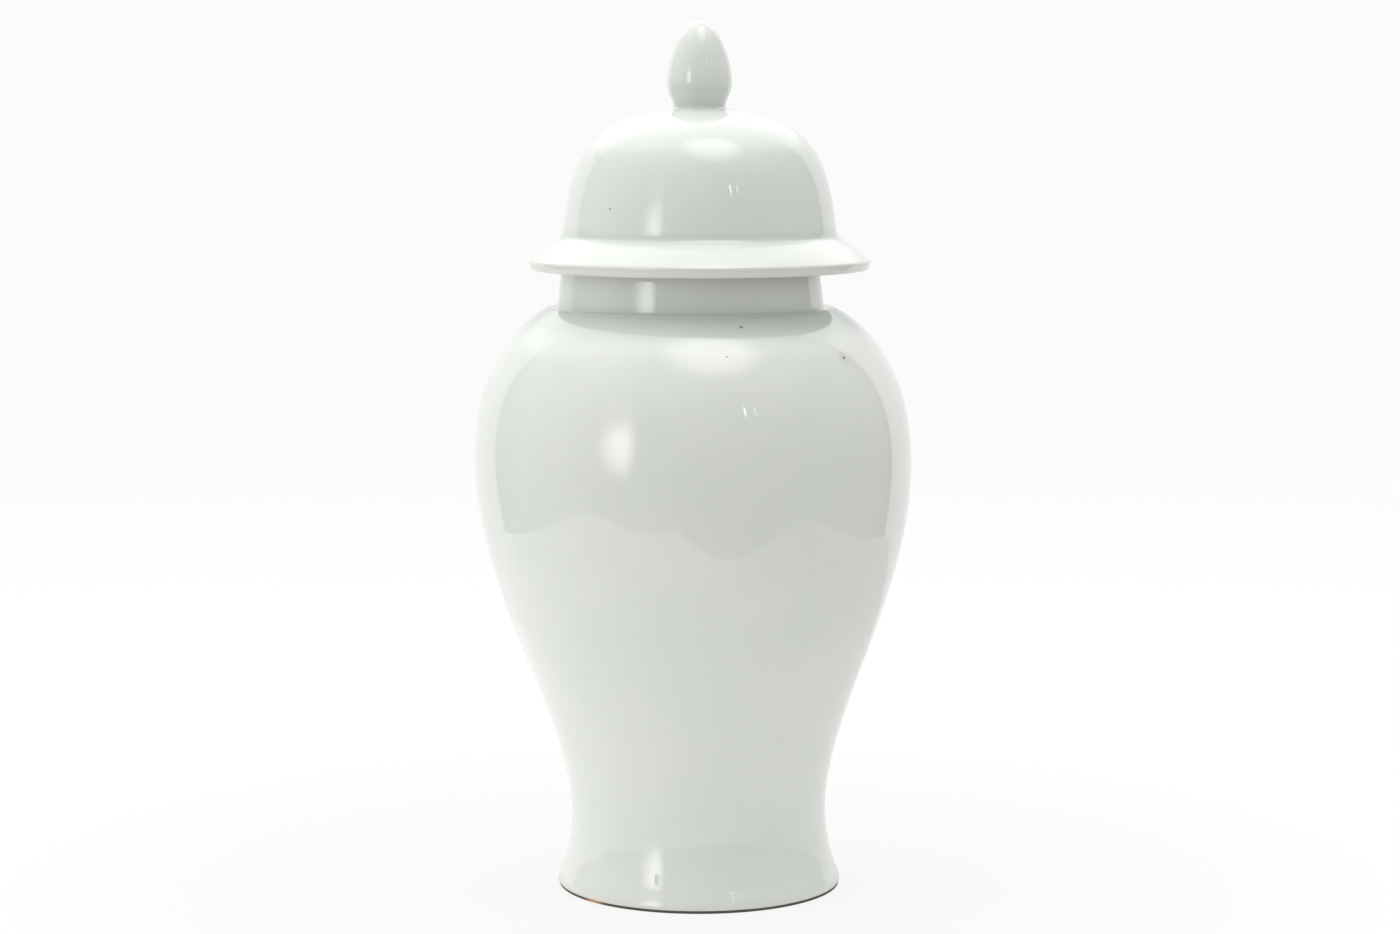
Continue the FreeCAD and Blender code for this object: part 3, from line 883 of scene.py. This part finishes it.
def floor_material(look):
    """White table that keeps the jar's shadow and runs into the white background."""
    material = bpy.data.materials.new("white table")
    material.use_nodes = True
    tree = material.node_tree
    tree.nodes.clear()
    place = add_node(tree, "TexCoord").outputs["Object"]
    distance = vector_maths(tree, "LENGTH", place)["Value"]
    reach = (0.4 * look.table_depth, 0.95 * look.table_depth)
    share = look.shadow_share
    shaded = add_node(tree, "BsdfDiffuse", mix_colour(
        tree, ease(tree, distance, *reach), (share, share, share), (0.0, 0.0, 0.0)))
    glow = add_node(tree, "Emission", None, ease(
        tree, distance, *reach, 1.0 - share * look.table_light, 1.0))
    seen = add_node(tree, "AddShader", shaded.outputs[0], glow.outputs[0])
    across = add_node(tree, "SeparateXYZ", place).outputs["X"]
    table = add_node(tree, "BsdfDiffuse", mix_colour(
        tree, ease(tree, across, 0.0, 0.45), TABLE_MIDDLE, TABLE_RIGHT))
    show_apart(tree, table, seen, "OutputMaterial")
    return material


def product(tree, first, *others):
    """Values multiplied together."""
    for other in others:
        first = maths(tree, "MULTIPLY", first, other)
    return first


def total(tree, first, *others):
    """Values added together."""
    for other in others:
        first = maths(tree, "ADD", first, other)
    return first


def sweep(tree, angle, low, high, start=0.0, end=1.0):
    """Value eased from start to end between two angles, given in degrees."""
    return ease(tree, angle, math.radians(low), math.radians(high), start, end)


def between(tree, angle, rise, fall):
    """Share that grows over one pair of angles and goes again over another."""
    return product(tree, sweep(tree, angle, *rise), sweep(tree, angle, *fall))


def boxed_light(tree, azimuth, elevation, bearings, heights):
    """Share of a light that lies between bearings and between heights."""
    return product(tree, between(tree, azimuth, *bearings), between(tree, elevation, *heights))


def off_middle(tree, angle, middle, before, after):
    """How far an angle lies from a middle, as a share of its reach on either side."""
    past = maths(tree, "SUBTRACT", angle, math.radians(middle))
    return maths(tree, "MAXIMUM", maths(tree, "DIVIDE", past, -math.radians(before)),
                 maths(tree, "DIVIDE", past, math.radians(after)))


def egg_light(tree, azimuth, elevation, bearing, left, right, height, below, above):
    """Share of an egg-shaped lamp's light, soft towards its outline."""
    across = off_middle(tree, azimuth, bearing, left, right)
    upright = off_middle(tree, elevation, height, below, above)
    away = total(tree, product(tree, across, across), product(tree, upright, upright))
    return ease(tree, maths(tree, "SQRT", away), 1.0, 0.12)


def round_light(tree, direction, bearing, height, inner, outer):
    """Share of a round lamp's light, full inside its inner reach and none outside its outer."""
    bearing, height = math.radians(bearing), math.radians(height)
    lamp = (math.sin(bearing) * math.cos(height), -math.cos(bearing) * math.cos(height),
            math.sin(height))
    return ease(tree, vector_maths(tree, "DOT_PRODUCT", direction, lamp)["Value"],
                math.cos(math.radians(outer)), math.cos(math.radians(inner)))


def even_light(tree, look, across, side, elevation):
    """Light on the jar's own colour: soft all round, stronger from the left and overhead."""
    behind = sweep(tree, side, 20.0, 100.0, 0.83, 1.03)
    low = sweep(tree, elevation, -6.0, 6.0, 0.7 * look.room, look.room)
    beside = product(tree, boxed_light(tree, side, elevation, *SIDE_GLOW), SIDE_GLOW_SHARE)
    before = product(tree, sweep(tree, side, *FRONT_SHADE),
                     between(tree, elevation, *FRONT_SHADE_HEIGHTS), FRONT_SHADE_SHARE)
    balance = maths(tree, "SUBTRACT", total(tree, 1.0, beside), before)
    overhead = sweep(tree, elevation, 42.0, 90.0, 0.0, look.overhead)
    return product(tree, ease(tree, across, -1.0, 1.0, 1.31, 0.96),
                   total(tree, product(tree, behind, low, balance), overhead))


def mirrored_light(tree, look, direction, azimuth, elevation):
    """What the glaze mirrors: a dim room with a bright ceiling, the backdrop and soft lamps."""
    dim = sweep(tree, azimuth, *DIM_ROOM, look.mirrored_room * 1.8, look.mirrored_room)
    floor = sweep(tree, elevation, -6.0, 4.0, 0.4, 1.0)
    uneven = ease(tree, noise_at(tree, direction, 2.6, 2.0), 0.3, 0.7, 0.7, 1.3)
    post = product(tree, POST_SHARE, between(tree, azimuth, *ROOM_POST))
    dim = product(tree, dim, floor, uneven, maths(tree, "SUBTRACT", 1.0, post))
    room = total(tree, dim, sweep(tree, elevation, 28.0, 72.0, 0.0, look.ceiling))
    gap = product(tree, sweep(tree, azimuth, *GAP_RIGHT, 1.0, 0.35),
                  sweep(tree, azimuth, *GAP_LEFT, 0.6, 1.0))
    gap = maths(tree, "MAXIMUM", gap, sweep(tree, elevation, *GAP_CLOSES))
    backdrop = total(tree, sweep(tree, azimuth, *BACKDROP_RIGHT, 0.0, look.rim_light),
                     sweep(tree, azimuth, *BACKDROP_LEFT, 0.0, look.rim_light))
    lamps = [
        (egg_light(tree, azimuth, elevation, *WINDOW), look.window),
        (egg_light(tree, azimuth, elevation, *WINDOW_PLUME), PLUME_SHARE * look.window),
        (round_light(tree, direction, *SOFTBOX), look.softbox),
        (round_light(tree, direction, *SKYLIGHT), look.skylight),
        (boxed_light(tree, azimuth, elevation, *FAR_LAMP), look.glint),
        (boxed_light(tree, azimuth, elevation, *FARTHER_LAMP), FARTHER_LAMP_SHARE * look.glint),
    ]
    return total(tree, maths(tree, "MAXIMUM", product(tree, room, gap), backdrop),
                 *(product(tree, share, brightness) for share, brightness in lamps))


def room_world(look):
    """Light by direction: even on the jar's colour, mirrored in its glaze, and white behind it."""
    world = bpy.data.worlds.new("room")
    world.use_nodes = True
    tree = world.node_tree
    tree.nodes.clear()
    direction = add_node(tree, "TexCoord").outputs["Generated"]
    across, back, up = add_node(tree, "SeparateXYZ", direction).outputs
    azimuth = maths(tree, "ARCTAN2", across, maths(tree, "MULTIPLY", back, -1.0))
    elevation = maths(tree, "ARCSINE", up)
    even = even_light(tree, look, across, maths(tree, "ABSOLUTE", azimuth), elevation)
    mirrored = mirrored_light(tree, look, direction, azimuth, elevation)
    glossy = add_node(tree, "LightPath").outputs["Is Glossy Ray"]
    level = add_node(tree, "Mix", glossy, None, even, mirrored).outputs[0]
    white = sweep(tree, elevation, -9.5, -4.5, 1.0, look.backdrop)
    light, seen = (add_node(tree, "Background", (1.0, 1.0, 1.0, 1.0), strength)
                   for strength in (level, white))
    show_apart(tree, light, seen, "OutputWorld")
    return world


class TEMPLEJAR_PT_panel(bpy.types.Panel):
    """Lists the pieces"""

    bl_idname = "TEMPLEJAR_PT_panel"
    bl_label = "Temple jar"
    bl_space_type = "VIEW_3D"
    bl_region_type = "UI"
    bl_category = "Temple jar"

    def draw(self, context):
        for operator in OPERATORS:
            self.layout.operator(operator.bl_idname)


GROUPS = {
    "temple_jar_jar": JarSizes,
    "temple_jar_lid": LidSizes,
    "temple_jar_finish": Finishes,
    "temple_jar_stage": StageLook,
}
OPERATORS = [
    TEMPLEJAR_OT_jar,
    TEMPLEJAR_OT_jar_clay,
    TEMPLEJAR_OT_lid,
    TEMPLEJAR_OT_lid_clay,
    TEMPLEJAR_OT_finial,
    TEMPLEJAR_OT_stage,
]


def register():
    for group in GROUPS.values():
        bpy.utils.register_class(group)
    for name, group in GROUPS.items():
        setattr(bpy.types.Scene, name, PointerProperty(type=group))
    for operator in OPERATORS:
        bpy.utils.register_class(operator)
    bpy.utils.register_class(TEMPLEJAR_PT_panel)


def unregister():
    bpy.utils.unregister_class(TEMPLEJAR_PT_panel)
    for operator in reversed(OPERATORS):
        bpy.utils.unregister_class(operator)
    for name in GROUPS:
        delattr(bpy.types.Scene, name)
    for group in reversed(GROUPS.values()):
        bpy.utils.unregister_class(group)


def main():
    """Make every piece in order."""
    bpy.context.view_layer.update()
    register()
    for operator in OPERATORS:
        group, name = operator.bl_idname.split(".")
        getattr(getattr(bpy.ops, group), name)()


if __name__ == "__main__":
    main()
